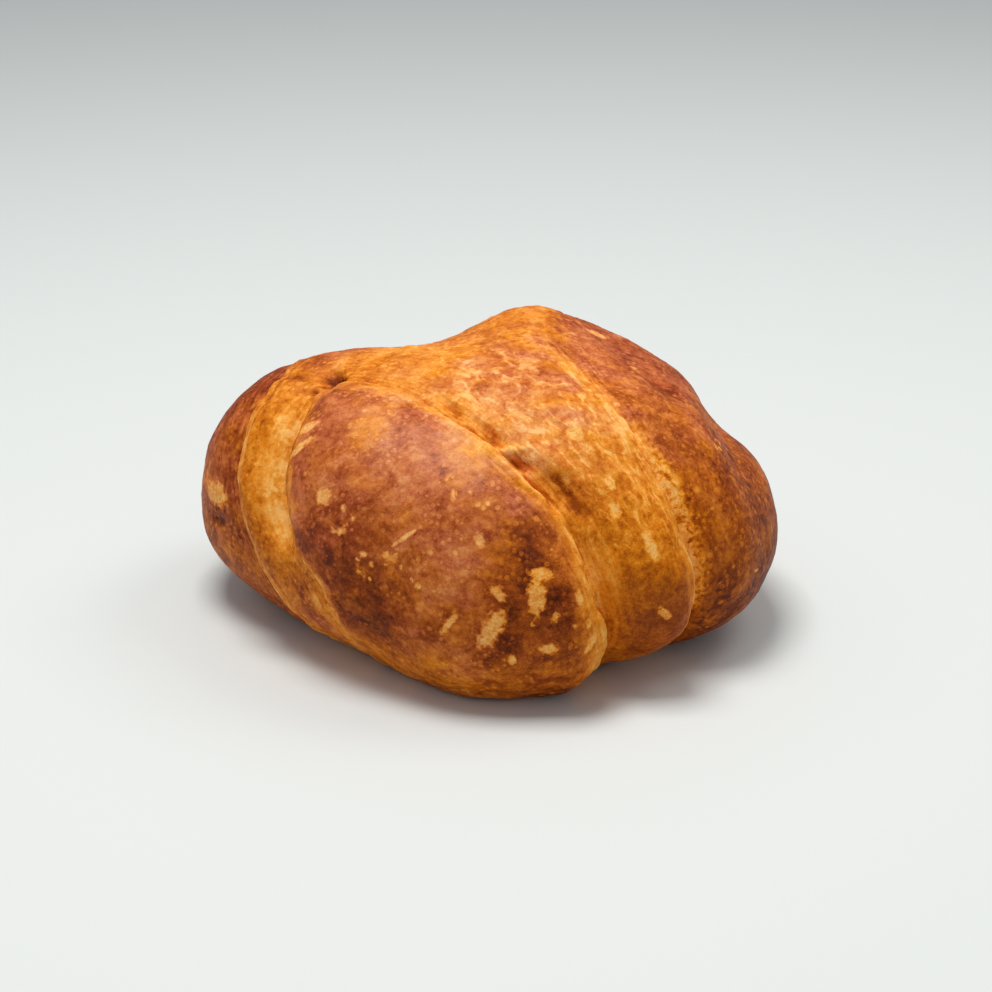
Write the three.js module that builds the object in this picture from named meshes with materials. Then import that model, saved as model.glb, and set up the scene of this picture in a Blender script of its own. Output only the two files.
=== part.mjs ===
// Croissant: one baked piece of rolled dough, as a closed solid that lies on its flat base.
// Millimetres, +Z up, origin under the middle of the loaf at the level it rests on.
// The body is a rounded form in which every direction from its middle has one radius. The dough
// layers are drawn on it as seams: each layer stands proud of the one it covers.
import * as THREE from 'three';
import { mergeVertices } from 'three/addons/utils/BufferGeometryUtils.js';

// ---- Driving dimensions, mm ----
const MIDDLE_HEIGHT = 27;      // from the base to the widest level
const CROWN_HEIGHT = 44.5;     // from the widest level to the top of the plain body
const KEEL_DEPTH = 36.5;       // how far the plain body would reach below the widest level
const BASE_FILLET = 3;         // softness of the edge around the flat base
const CELLS_PER_FACE = 24;     // grid cells along each side of the six-sided grid

// Half-widths of the belly, from the front (-Y) round through +X, evenly spaced.
const BELLY = [57, 60, 65, 71, 73, 72, 71, 64, 61, 60, 68, 77, 77, 64, 58, 55];

// How square the upper section is towards the front, +X, the back and -X; 2 is an ellipse.
const FULLNESS = [2.1, 2.1, 2.1, 2.5];
const LOWER_FULLNESS = 2.2;

// Swellings and hollows of the dough: [turn from the front, rise, spread] in degrees, height in mm.
const SWELLINGS = [
  { turn: 167, rise: 50, spread: 25, height: 8.5 },    // peak of the back roll
  { turn: -140, rise: 45, spread: 32, height: -7 },    // slack shoulder behind the left end
  { turn: 100, rise: 42, spread: 24, height: -1.5 },   // fall of the right shoulder
  { turn: 5, rise: -20, spread: 28, height: 7 },       // front belly, hanging over the base
  { turn: 45, rise: 45, spread: 25, height: 1.5 },     // second roll, right of the flap
  { turn: 43, rise: -2, spread: 13, height: 4 },       // knuckle of the second roll
  { turn: -30, rise: 20, spread: 30, height: 2.5 },    // dome of the flap
  { turn: 82, rise: -12, spread: 20, height: 1.5 },    // right end, low down
  { turn: -95, rise: 15, spread: 22, height: -2.5 },   // left end
  { turn: -105, rise: 33, spread: 17, height: 2 },     // rounded top of the left end
  { turn: 180, rise: -12, spread: 30, height: -10 },   // inner curve of the crescent
];

// Seams are drawn on a round chart centred on the top: degrees to the right, degrees to the back,
// and the depth of the step in mm. Each closed outline bounds one dough layer.
const FLAP_OUTLINE = [
  [74, -112, 5], [62, -90, 6], [47, -77, 5.5], [31, -64, 4.5], [12, -53, 3], [-6, -41, 2],
  [-25, -25, 1.8], [-37, -15, 2], [-44, -12, 2.5], [-51, -18, 2.5], [-61, -32, 3.5], [-66, -47, 4.5],
  [-62, -62, 3.5], [-58, -74, 1.5], [-61, -88, 0.7], [-70, -106, 0.5],
  [-60, -135, 1], [0, -150, 1], [60, -135, 3],
];
const RIGHT_END_OUTLINE = [
  [100, -75, 4], [85, -60, 6], [70, -51, 5.5], [57, -42, 4.5], [44, -30, 3], [34, -16, 2],
  [24, 5, 0.9], [19, 24, 0.6], [16, 50, 1.5], [15, 95, 3], [15, 140, 2],
  [60, 150, 1], [130, 90, 1], [150, 0, 1], [130, -90, 1],
];
const LEFT_END_OUTLINE = [
  [-95, -88, 1], [-87, -65, 1.4], [-85, -45, 1.8], [-76, -26, 2], [-64, -11, 2], [-55, 10, 2],
  [-46, 32, 3], [-36, 60, 3.5], [-34, 100, 3.5], [-34, 140, 2],
  [-80, 130, 1], [-130, 70, 1], [-150, 0, 1], [-135, -80, 1],
];
const RIGHT_VALLEY = [
  [80, -30, 0], [74, -12, 1.8], [70, 4, 4.2], [69, 18, 5], [68, 34, 5], [68, 56, 4.5],
  [70, 84, 3.5], [74, 110, 2.5],
];
const VALLEY_WIDTH = 11;

// How each layer meets the one under it: the rounding of the upper edge and the ramp of the lower.
const FLAP_STEP = { rounding: 13, ramp: 12 };
const RIGHT_STEP = { rounding: 12, ramp: 10 };
const LEFT_STEP = { rounding: 7, ramp: 8 };
const FLAP_COVER = 6;          // band in which the flap hides the seams that run under it
const STEPS_PER_POINT = 6;     // samples of a seam between two of its points

// ---- Small helpers ----
const middle = new THREE.Vector3(0, 0, MIDDLE_HEIGHT);

function smoothStep(t) {
  const x = THREE.MathUtils.clamp(t, 0, 1);
  return x * x * (3 - 2 * x);
}

// A smooth closed curve through evenly spaced values; turn runs from 0 to 1.
function ring(values, turn) {
  const count = values.length;
  const place = (turn - Math.floor(turn)) * count;
  const i = Math.floor(place);
  const f = place - i;
  const at = (k) => values[(i + k + count) % count];
  const [a, b, c, d] = [at(-1), at(0), at(1), at(2)];
  return b + 0.5 * f * (c - a + f * (2 * a - 5 * b + 4 * c - d + f * (3 * (b - c) + d - a)));
}

function smoothMinimum(a, b, softness) {
  const h = THREE.MathUtils.clamp(0.5 + (0.5 * (b - a)) / softness, 0, 1);
  return b * (1 - h) + a * h - softness * h * (1 - h);
}

function directionOf(turnDegrees, riseDegrees) {
  const turn = THREE.MathUtils.degToRad(turnDegrees);
  const rise = THREE.MathUtils.degToRad(riseDegrees);
  const level = Math.cos(rise);
  return new THREE.Vector3(Math.sin(turn) * level, -Math.cos(turn) * level, Math.sin(rise));
}

// ---- The plain body ----
const swellingDirections = SWELLINGS.map((s) => directionOf(s.turn, s.rise));

function bodyRadius(direction) {
  const turn = Math.atan2(direction.x, -direction.y) / (2 * Math.PI);
  const across = Math.hypot(direction.x, direction.y);
  const upper = smoothStep(0.5 + direction.z / 0.3);
  const power = LOWER_FULLNESS * (1 - upper) + ring(FULLNESS, turn) * upper;
  const height = direction.z > 0 ? CROWN_HEIGHT : KEEL_DEPTH;
  const level = (across / ring(BELLY, turn)) ** power;
  const rise = (Math.abs(direction.z) / height) ** power;
  let radius = (level + rise) ** (-1 / power);
  SWELLINGS.forEach((swelling, i) => {
    const away = THREE.MathUtils.radToDeg(direction.angleTo(swellingDirections[i]));
    radius += swelling.height * Math.exp(-((away / swelling.spread) ** 2));
  });
  return radius;
}

// Ends the body on its flat base, with a soft edge around it.
function surfacePoint(direction, radius) {
  let reach = radius;
  if (direction.z < 0) {
    reach = smoothMinimum(radius, MIDDLE_HEIGHT / -direction.z, BASE_FILLET);
  }
  const point = middle.clone().addScaledVector(direction, reach);
  point.z = Math.max(point.z, 0);
  return point;
}

// ---- The chart on which the seams are drawn ----
function toChart(direction) {
  const fromTop = THREE.MathUtils.radToDeg(Math.acos(THREE.MathUtils.clamp(direction.z, -1, 1)));
  const level = Math.max(Math.hypot(direction.x, direction.y), 1e-9);
  return new THREE.Vector2(direction.x / level * fromTop, direction.y / level * fromTop);
}

function fromChart(right, back) {
  const fromTop = Math.max(Math.hypot(right, back), 1e-9);
  const level = Math.sin(THREE.MathUtils.degToRad(fromTop));
  const height = Math.cos(THREE.MathUtils.degToRad(fromTop));
  return new THREE.Vector3((right / fromTop) * level, (back / fromTop) * level, height);
}

// A seam as points on the body, each with its chart place and its depth.
function drawSeam(outline, closed) {
  const corners = outline.map((p) => new THREE.Vector3(...p));
  const curve = new THREE.CatmullRomCurve3(corners, closed, 'catmullrom', 0.5);
  const count = STEPS_PER_POINT * (outline.length - (closed ? 0 : 1));
  const samples = Array.from({ length: count + 1 }, (_, i) => curve.getPoint(i / count));
  return samples.map((sample) => {
    const direction = fromChart(sample.x, sample.y);
    const onBody = surfacePoint(direction, bodyRadius(direction));
    return { chart: sample, onBody, depth: sample.z };
  });
}

// The distance from a point to the seam, and the depth of the seam there.
function nearestOnSeam(point, seam) {
  const best = { distance: Infinity, depth: 0 };
  const piece = new THREE.Line3();
  const foot = new THREE.Vector3();
  for (let i = 0; i + 1 < seam.length; i += 1) {
    piece.set(seam[i].onBody, seam[i + 1].onBody);
    const t = piece.closestPointToPointParameter(point, true);
    const distance = piece.at(t, foot).distanceTo(point);
    if (distance < best.distance) {
      best.distance = distance;
      best.depth = THREE.MathUtils.lerp(seam[i].depth, seam[i + 1].depth, t);
    }
  }
  return best;
}

// Whether a chart place lies inside a closed outline: it crosses the outline an odd number of times.
function insideOutline(place, seam) {
  let inside = false;
  for (let i = 0; i + 1 < seam.length; i += 1) {
    const a = seam[i].chart;
    const b = seam[i + 1].chart;
    const spans = (a.y > place.y) !== (b.y > place.y);
    if (spans && place.x < ((b.x - a.x) * (place.y - a.y)) / (b.y - a.y) + a.x) inside = !inside;
  }
  return inside;
}

// Distance from a layer's edge, positive inside its outline, with the depth of the step.
function edgeOf(point, direction, seam) {
  const { distance, depth } = nearestOnSeam(point, seam);
  const side = insideOutline(toChart(direction), seam) ? 1 : -1;
  return { offset: side * distance, depth };
}

// The upper layer rounds down to its edge like a quarter circle; the lower one ramps up from it.
function stepHeight(offset, depth, step) {
  if (offset > 0) {
    const t = Math.min(offset / step.rounding, 1);
    return -depth * (1 - Math.sqrt(1 - (1 - t) ** 2));
  }
  return -depth * Math.exp(-((-offset / step.ramp) ** 1.5));
}

// ---- The loaf ----
const flapSeam = drawSeam(FLAP_OUTLINE, true);
const rightSeam = drawSeam(RIGHT_END_OUTLINE, true);
const leftSeam = drawSeam(LEFT_END_OUTLINE, true);
const valley = drawSeam(RIGHT_VALLEY, false);

function layerHeight(point, direction) {
  const flap = edgeOf(point, direction, flapSeam);
  const right = edgeOf(point, direction, rightSeam);
  const left = edgeOf(point, direction, leftSeam);
  const dip = nearestOnSeam(point, valley);
  const uncovered = smoothStep(0.5 - flap.offset / FLAP_COVER);
  return stepHeight(flap.offset, flap.depth, FLAP_STEP)
    + stepHeight(-right.offset, right.depth, RIGHT_STEP) * uncovered
    + stepHeight(-left.offset, left.depth, LEFT_STEP) * uncovered
    - dip.depth * Math.exp(-((dip.distance / VALLEY_WIDTH) ** 2));
}

function loafGeometry() {
  const cells = CELLS_PER_FACE;
  const box = new THREE.BoxGeometry(2, 2, 2, cells, cells, cells);
  box.deleteAttribute('normal');
  box.deleteAttribute('uv');
  const geometry = mergeVertices(box);
  const position = geometry.attributes.position;
  const evenAngle = (x) => Math.tan((x * Math.PI) / 4);
  const direction = new THREE.Vector3();
  for (let i = 0; i < position.count; i += 1) {
    direction.fromBufferAttribute(position, i);
    direction.set(evenAngle(direction.x), evenAngle(direction.y), evenAngle(direction.z));
    direction.normalize();
    const radius = bodyRadius(direction);
    const plain = surfacePoint(direction, radius);
    const point = surfacePoint(direction, radius + layerHeight(plain, direction));
    position.setXYZ(i, point.x, point.y, point.z);
  }
  geometry.computeBoundingBox();
  const centre = geometry.boundingBox.getCenter(new THREE.Vector3());
  geometry.translate(-centre.x, -centre.y, 0);
  geometry.computeVertexNormals();
  return geometry;
}

const bakedCrust = new THREE.MeshStandardMaterial({
  name: 'baked_crust',
  color: 0xb9702f,
  roughness: 0.5,
  metalness: 0,
});

const croissant = new THREE.Mesh(loafGeometry(), bakedCrust);
croissant.name = 'croissant';

const part = new THREE.Group();
part.add(croissant);

export default part;
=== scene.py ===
# %% [markdown]
# # A croissant
# A croissant is one sheet of laminated dough, dozens of thin dough and butter layers, cut to a long
# triangle and rolled up from its wide end. The oven swells each wrap into a fat roll, browns what stands
# proud and leaves the seams between the wraps pale. This lesson shapes the loaf as one closed surface
# worked out with numpy, cuts the seams into it, and then bakes its colour with shader nodes.

# %% Load the fixed frame
import math

import bpy
import numpy as np
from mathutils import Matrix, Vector


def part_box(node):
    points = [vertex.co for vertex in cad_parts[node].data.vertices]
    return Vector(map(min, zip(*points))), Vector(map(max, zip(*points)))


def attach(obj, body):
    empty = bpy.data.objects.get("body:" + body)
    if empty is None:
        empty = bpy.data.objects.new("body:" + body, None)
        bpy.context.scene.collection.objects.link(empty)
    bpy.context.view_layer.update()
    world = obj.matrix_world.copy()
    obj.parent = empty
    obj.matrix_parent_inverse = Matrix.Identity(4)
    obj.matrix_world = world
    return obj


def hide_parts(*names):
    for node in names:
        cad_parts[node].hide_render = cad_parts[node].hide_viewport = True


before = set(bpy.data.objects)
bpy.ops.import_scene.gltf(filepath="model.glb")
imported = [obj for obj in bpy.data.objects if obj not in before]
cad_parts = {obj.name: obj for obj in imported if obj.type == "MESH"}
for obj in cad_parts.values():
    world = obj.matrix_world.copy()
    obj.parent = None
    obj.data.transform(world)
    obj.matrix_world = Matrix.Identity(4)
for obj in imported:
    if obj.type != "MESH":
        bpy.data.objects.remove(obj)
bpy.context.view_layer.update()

MM = 0.001
low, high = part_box("croissant")
print("plain loaf, mm:", [round(side / MM, 1) for side in (high - low)])

# %% [markdown]
# ## The grid of directions
# Every point of the loaf is seen from one middle point, so the surface is a function of direction. A globe
# grid crowds at its poles, so the six faces of a box are divided evenly and blown up to a ball instead.
# The ball is then pushed up and to the front: that draws the cells together where the seams and flakes
# are, and spends fewer of them on the flat base.

# %% Directions from a six-sided grid
CELLS = 128                               # along each side of each face
CROWDING = 0.22                           # how strongly the cells gather on the crowded side
CROWDED_SIDE = np.array([0.05, -0.5, 0.86])   # the direction of that side


def six_sided_grid(cells):
    """Unit directions and quads: whole-number places on the six faces of a box, made even in angle."""
    u, v = np.meshgrid(np.arange(cells + 1), np.arange(cells + 1), indexing="ij")
    flat, full = np.zeros_like(u), np.full_like(u, cells)
    faces = [(full, u, v), (flat, v, u), (v, full, u), (u, flat, v), (u, v, full), (v, u, flat)]
    places = np.stack([np.stack(face, -1) for face in faces])
    keys = places @ np.array([(cells + 1) ** 2, cells + 1, 1])
    kept, index = np.unique(keys, return_inverse=True)
    index = index.reshape(keys.shape)
    quads = np.stack([index[:, :-1, :-1], index[:, 1:, :-1], index[:, 1:, 1:], index[:, :-1, 1:]], -1)
    whole = np.stack([kept // (cells + 1) ** 2, kept // (cells + 1) % (cells + 1), kept % (cells + 1)], -1)
    spread = np.tan((whole / cells * 2 - 1) * math.pi / 4)
    return unit(spread), quads.reshape(-1, 4)


def unit(vectors):
    """Each vector divided by its own length."""
    return vectors / np.maximum(np.linalg.norm(vectors, axis=-1, keepdims=True), 1e-12)


directions, quads = six_sided_grid(CELLS)
directions = unit(directions + CROWDING * CROWDED_SIDE)
print(len(directions), "points,", 2 * len(quads), "triangles")

# %% [markdown]
# ## Small curves that the whole lesson uses
# A smooth step, a closed curve through evenly spaced values, a soft minimum that rounds the corner where
# two heights meet, and a bell. Dough has no corners, so these few curves are all that the body needs, and
# a formula made of them is easier to correct than points moved by hand.

# %% Small curves


def smooth_step(t):
    """0 below 0, 1 above 1, and three t squared less two t cubed between."""
    t = np.clip(t, 0, 1)
    return t * t * (3 - 2 * t)


def ring(values, turn):
    """A smooth closed curve through evenly spaced values, where turn runs once round from 0 to 1."""
    values = np.asarray(values, float)
    place = (turn % 1.0) * len(values)
    i = np.floor(place).astype(int)
    f = place - i
    a, b, c, d = (values[(i + k) % len(values)] for k in (-1, 0, 1, 2))
    return b + 0.5 * f * (c - a + f * (2 * a - 5 * b + 4 * c - d + f * (3 * (b - c) + d - a)))


def soft_minimum(a, b, softness):
    """The smaller of two numbers, with the corner between them rounded off over the softness."""
    h = np.clip(0.5 + 0.5 * (b - a) / softness, 0, 1)
    return b * (1 - h) + a * h - softness * h * (1 - h)


def falloff(distance, width):
    """A bell: e to the power of minus the square of distance over width."""
    return np.exp(-(distance / width) ** 2)


print("bell at half its width:", round(float(falloff(0.5, 1.0)), 3))

# %% [markdown]
# ## The body
# The proved dough is a fat crescent that has slumped a little. It is worked out as a superellipse: the
# level part divided by the belly's half-width, and the upright part divided by the crown's height, each to
# a power near two, add up to one. A few bells raise and lower it into the rolls of this loaf. Sculpting
# would do as well, but a radius in every direction stays smooth, closed and easy to measure.

# %% The body as one radius in every direction
MIDDLE_HEIGHT = 27.0                      # mm from the base to the widest level
CROWN_HEIGHT = 44.5
KEEL_DEPTH = 36.5
BASE_FILLET = 3.0
BELLY = [57, 60, 65, 71, 73, 72, 71, 64, 61, 60, 68, 77, 77, 64, 58, 55]   # mm, from -Y round through +X
FULLNESS = [2.1, 2.1, 2.1, 2.5]           # how square it is in front, at +X, behind and at -X
LOWER_FULLNESS = 2.2
MIDDLE = np.array([0.0, 0.0, MIDDLE_HEIGHT])

SWELLINGS = [                             # turn from the front, rise, spread in degrees; height in mm
    (167, 50, 25, 8.5),                   # peak of the back roll
    (-140, 45, 32, -7.0),                 # slack shoulder behind the left end
    (100, 42, 24, -1.5),                  # fall of the right shoulder
    (5, -20, 28, 7.0),                    # front belly, hanging over the base
    (45, 45, 25, 1.5),                    # second roll, right of the flap
    (43, -2, 13, 4.0),                    # knuckle of the second roll
    (-30, 20, 30, 2.5),                   # dome of the flap
    (82, -12, 20, 1.5),                   # right end, low down
    (-95, 15, 22, -2.5),                  # left end
    (-105, 33, 17, 2.0),                  # rounded top of the left end
    (180, -12, 30, -10.0),                # inner curve of the crescent
]


def direction_of(turn, rise):
    """The direction that is turned from the front towards +X and raised by so many degrees."""
    turn, rise = math.radians(turn), math.radians(rise)
    level = math.cos(rise)
    return np.array([math.sin(turn) * level, -math.cos(turn) * level, math.sin(rise)])


def body_radius(d):
    """Superellipse radius in the directions d, plus a bell for each swelling."""
    turn = np.arctan2(d[:, 0], -d[:, 1]) / (2 * math.pi)
    upper = smooth_step(0.5 + d[:, 2] / 0.3)
    power = LOWER_FULLNESS * (1 - upper) + ring(FULLNESS, turn) * upper
    height = np.where(d[:, 2] > 0, CROWN_HEIGHT, KEEL_DEPTH)
    level = (np.hypot(d[:, 0], d[:, 1]) / ring(BELLY, turn)) ** power
    radius = (level + (np.abs(d[:, 2]) / height) ** power) ** (-1 / power)
    for turn_degrees, rise, spread, swell in SWELLINGS:
        away = np.degrees(np.arccos(np.clip(d @ direction_of(turn_degrees, rise), -1, 1)))
        radius = radius + swell * falloff(away, spread)
    return radius


def surface(d, radius):
    """Points at that radius in the directions d, ended on the flat base with a soft edge round it."""
    down = np.maximum(-d[:, 2], 1e-6)
    on_base = soft_minimum(radius, MIDDLE_HEIGHT / down, BASE_FILLET)
    reach = np.where(d[:, 2] < 0, on_base, radius)
    points = MIDDLE + reach[:, None] * d
    points[:, 2] = np.maximum(points[:, 2], 0)
    return points


plain = surface(directions, body_radius(directions))
print("plain body, mm:", np.ptp(plain, axis=0).round(1))

# %% [markdown]
# ## The seams
# Each wrap of dough ends in an edge that lies on the wrap below. The edges are drawn on a round chart that
# is centred on the top of the loaf: so many degrees to the right, so many to the back. With each point
# goes the depth of the step there, because an edge fades out where the layers have baked together.

# %% Edges of the layers, on the chart
FLAP_OUTLINE = [                          # right, back, and depth of the step in mm
    (74, -112, 5), (62, -90, 6), (47, -77, 5.5), (31, -64, 4.5), (12, -53, 3), (-6, -41, 2),
    (-25, -25, 1.8), (-37, -15, 2), (-44, -12, 2.5), (-51, -18, 2), (-61, -32, 2), (-66, -47, 2.5),
    (-62, -62, 2.5), (-58, -74, 1.5), (-61, -88, 0.7), (-70, -106, 0.5),
    (-60, -135, 1), (0, -150, 1), (60, -135, 3),
]
RIGHT_END_OUTLINE = [
    (100, -75, 4), (85, -60, 6), (70, -51, 5.5), (57, -42, 4.5), (44, -30, 3), (34, -16, 2),
    (24, 5, 0.9), (19, 24, 0.6), (16, 50, 1.5), (15, 95, 3), (15, 140, 2),
    (60, 150, 1), (130, 90, 1), (150, 0, 1), (130, -90, 1),
]
LEFT_END_OUTLINE = [
    (-95, -88, 1), (-87, -65, 1.4), (-85, -45, 1.8), (-76, -26, 2), (-64, -11, 2), (-55, 10, 2),
    (-46, 32, 3), (-36, 60, 3.5), (-34, 100, 3.5), (-34, 140, 2),
    (-80, 130, 1), (-130, 70, 1), (-150, 0, 1), (-135, -80, 1),
]
RIGHT_VALLEY = [
    (80, -30, 0), (74, -12, 1.8), (70, 4, 4.2), (69, 18, 5), (68, 34, 5), (68, 56, 4.5),
    (70, 84, 3.5), (74, 110, 2.5),
]
STEPS_PER_POINT = 14                      # straight pieces of line from one corner to the next


def smooth_line(corners, closed):
    """A curve through the corners whose slope at each is half the way from the one before to the next."""
    corners = np.asarray(corners, float)
    count = len(corners)
    spans = np.arange(count if closed else count - 1)
    i = np.repeat(spans, STEPS_PER_POINT)
    f = np.tile(np.arange(STEPS_PER_POINT) / STEPS_PER_POINT, len(spans))[:, None]
    pick = (lambda k: corners[k % count]) if closed else (lambda k: corners[np.clip(k, 0, count - 1)])
    a, b, c, d = pick(i - 1), pick(i), pick(i + 1), pick(i + 2)
    line = b + 0.5 * f * (c - a + f * (2 * a - 5 * b + 4 * c - d + f * (3 * (b - c) + d - a)))
    return np.vstack([line, corners[:1] if closed else corners[-1:]])


def to_chart(d):
    """Chart places of directions: the angle from straight up, laid out along the way they point."""
    from_top = np.degrees(np.arccos(np.clip(d[:, 2], -1, 1)))
    return unit(d[:, :2]) * from_top[:, None]


def from_chart(places):
    """Directions of chart places, the other way round."""
    from_top = np.linalg.norm(places, axis=-1, keepdims=True)
    level = places / np.maximum(from_top, 1e-9) * np.sin(np.radians(from_top))
    return np.concatenate([level, np.cos(np.radians(from_top))], -1)


def nearest_on_line(points, line, values):
    """For each point: the foot of the shortest way to the line, how far along it, its value and heading."""
    starts, spans = line[:-1], np.diff(line, axis=0)
    lengths = np.linalg.norm(spans, axis=1)
    along_start = np.concatenate([[0], np.cumsum(lengths)[:-1]])
    best = np.full(len(points), np.inf)
    foot, heading = np.zeros_like(points), np.zeros_like(points)
    along, value = np.zeros(len(points)), np.zeros(len(points))
    for k, (start, span, length) in enumerate(zip(starts, spans, lengths)):
        t = np.clip((points - start) @ span / length ** 2, 0, 1)
        place = start + t[:, None] * span
        distance = ((points - place) ** 2).sum(1)
        closer = distance < best
        best[closer] = distance[closer]
        foot[closer] = place[closer]
        heading[closer] = span / length
        along[closer] = along_start[k] + t[closer] * length
        value[closer] = values[k] + t[closer] * (values[k + 1] - values[k])
    return foot, along, value, heading


def inside(places, outline):
    """True where a line to the right of the place crosses the outline an odd number of times."""
    odd = np.zeros(len(places), bool)
    for (ax, ay), (bx, by) in zip(outline[:-1], outline[1:]):
        spans = (ay > places[:, 1]) != (by > places[:, 1])
        crossing = (bx - ax) * (places[:, 1] - ay) / (by - ay if by != ay else 1) + ax
        odd ^= spans & (places[:, 0] < crossing)
    return odd


def seam(d, outline, closed=True):
    """Where each point lies beside a seam: distance in mm, positive inside, with foot, along and depth."""
    line = smooth_line(outline, closed)
    line_directions = from_chart(line[:, :2])
    on_body = surface(line_directions, body_radius(line_directions))
    points = surface(d, body_radius(d))
    foot, along, depth, heading = nearest_on_line(points, on_body, line[:, 2])
    offset = np.linalg.norm(points - foot, axis=1)
    if closed:
        offset = np.where(inside(to_chart(d), line[:, :2]), 1, -1) * offset
    return {"offset": offset, "foot": foot, "along": along, "depth": depth, "heading": heading}


flap_edge = from_chart(smooth_line(FLAP_OUTLINE, True)[:, :2])
flap_edge = surface(flap_edge, body_radius(flap_edge))
print("length round the flap, mm:", np.linalg.norm(np.diff(flap_edge, axis=0), axis=1).sum().round(0))

# %% [markdown]
# ## Finer cells beside the seams
# A seam is a steep little wall, so the cells beside it need to be small. Each point near a seam slides
# part of the way towards it along the surface. Far from the seams nothing moves.

# %% Gather the cells beside the seams
GATHER_SHARE = 0.5                        # part of the way a point on the seam's edge slides
GATHER_WIDTH = 3.2                        # mm


def gathered(d, outline):
    """Directions moved towards the seam by a share that falls off with the distance, as a bell."""
    beside = seam(d, outline)
    points = surface(d, body_radius(d))
    share = GATHER_SHARE * falloff(beside["offset"], GATHER_WIDTH) * smooth_step(beside["depth"] / 2)
    return unit(points + (beside["foot"] - points) * share[:, None] - MIDDLE)


for outline in (FLAP_OUTLINE, RIGHT_END_OUTLINE, LEFT_END_OUTLINE):
    directions = gathered(directions, outline)
flap = seam(directions, FLAP_OUTLINE)
right_end = seam(directions, RIGHT_END_OUTLINE)
left_end = seam(directions, LEFT_END_OUTLINE)
valley = seam(directions, RIGHT_VALLEY, closed=False)
plain = surface(directions, body_radius(directions))
print("points within 1 mm of the flap's edge:", int((np.abs(flap["offset"]) < 1).sum()))

# %% [markdown]
# ## Random relief
# Baked dough is never even: gas swells it, steam blisters it and the skin wrinkles as it cools. All of
# that is gradient noise. Space is cut into cubes, each corner gets a random slope, and the eight slopes
# round a point are blended. The slopes come from a seeded table, so the loaf is the same every time.

# %% Gradient noise
SLOPES = unit(np.random.default_rng(7).normal(size=(4096, 3)))
HASH = np.array([73856093, 19349663, 83492791])


def noise(places, size, seed=0):
    """Smooth random heights, mostly between -1 and 1, whose bumps are about the size in mm across."""
    grid = places / size + seed * 17.3
    cell = np.floor(grid).astype(np.int64)
    inner = grid - cell
    blend = inner ** 3 * (inner * (inner * 6 - 15) + 10)
    total = np.zeros(len(places))
    for corner in np.ndindex(2, 2, 2):
        slope = SLOPES[((cell + corner) * HASH).sum(1) % len(SLOPES)]
        share = np.prod(np.where(corner, blend, 1 - blend), axis=1)
        total += share * (slope * (inner - corner)).sum(1)
    return total * 1.8


def ridges(places, size, seed=0):
    """Sharp crests with round hollows between them: one less the size of the noise, squared."""
    return (1 - np.minimum(np.abs(noise(places, size, seed)) * 1.6, 1)) ** 2


def beside_seam(edge, across, length, seed):
    """Noise drawn out along a seam: fine steps across it, long ones along it."""
    places = np.stack([edge["offset"] / across, edge["along"] / length, np.zeros(len(plain))], -1)
    return noise(places, 1.0, seed)


print("noise spread:", noise(plain, 8.0).std().round(2))

# %% [markdown]
# ## How one layer lies on another
# The upper layer rounds down to its edge like a quarter of a circle and leans out a little over the gap.
# The lower layer rises out of the gap on a ramp. The gap itself is a narrow crevice that opens and closes
# along the seam. Beside it the cut edges of the dough layers show as fine ridges that follow the seam.

# %% The lapped edges
LAPS = {                                  # seam, side, then in mm: rounding, ramp, crevice, lean, ridges
    "flap": (flap, 1, 13, 12, 1.9, 1.0, 7.0, 0.24),
    "right": (right_end, -1, 12, 10, 1.5, 0.7, 6.0, 0.20),
    "left": (left_end, -1, 7, 8, 0.7, 0.3, 8.0, 0.16),
}
CREVICE_WIDTH = 0.8                       # mm
COVER = 6.0                               # mm in which the flap hides the seams that run under it


def lapped_edge(edge, side, rounding, ramp, crevice, lean, reach, ridge, seed):
    """Height and outward lean beside one seam; side is 1 where the upper layer is inside the outline."""
    depth = edge["depth"]
    strays = 0.9 * noise(plain, 7.0, seed + 20) + 0.35 * noise(plain, 2.6, seed + 21)
    offset = edge["offset"] * side + strays
    over = np.clip(offset / rounding, 0, 1)
    upper = -depth * (1 - np.sqrt(1 - (1 - over) ** 2))
    lower = -depth * np.exp(-(np.clip(-offset, 0, None) / ramp) ** 1.5)
    height = np.where(offset > 0, upper, lower)
    open_here = smooth_step(depth / 4) * smooth_step(0.55 + 0.9 * noise(edge["foot"], 11.0, seed))
    height = height - crevice * open_here * falloff(offset, CREVICE_WIDTH)
    height = height + 0.45 * open_here * falloff(offset - 1.7, 0.9)         # a lip beside the crevice
    fibres = beside_seam(edge, 0.8, 14.0, seed) + 0.6 * beside_seam(edge, 1.9, 20.0, seed + 1)
    height = height + ridge * fibres * falloff(offset, reach) * smooth_step(depth / 2)
    leaning = lean * open_here * falloff(offset - 1.2, 1.3)
    return height, leaning


uncovered = smooth_step(0.5 - flap["offset"] / COVER)
relief = -valley["depth"] * falloff(valley["offset"], 11.0)
lean = np.zeros_like(plain)
for seed, (name, (edge, side, *sizes)) in enumerate(LAPS.items(), start=3):
    height, leaning = lapped_edge(edge, side, *sizes, seed=seed)
    shown = 1 if name == "flap" else uncovered
    relief += height * shown
    sideways = unit(np.cross(edge["heading"], directions))
    to_inside = np.sign((((plain - edge["foot"]) * sideways).sum(1) * edge["offset"]).sum())
    lean -= sideways * (to_inside * side * leaning * shown)[:, None]
print("deepest seam, mm:", relief.min().round(1))

# %% [markdown]
# ## Marks of this loaf
# A few dents and swellings are too particular for noise: the little hole at the tip of the flap, the
# pockets that open along its edge, the dent in the left end. Each is an oval laid on the surface: its
# place on the chart, its length and width, and the way it is turned. Noise can't put a hole where the
# tip of the flap is, and a brush stroke couldn't be written down, so each gets a line of numbers.

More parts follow.
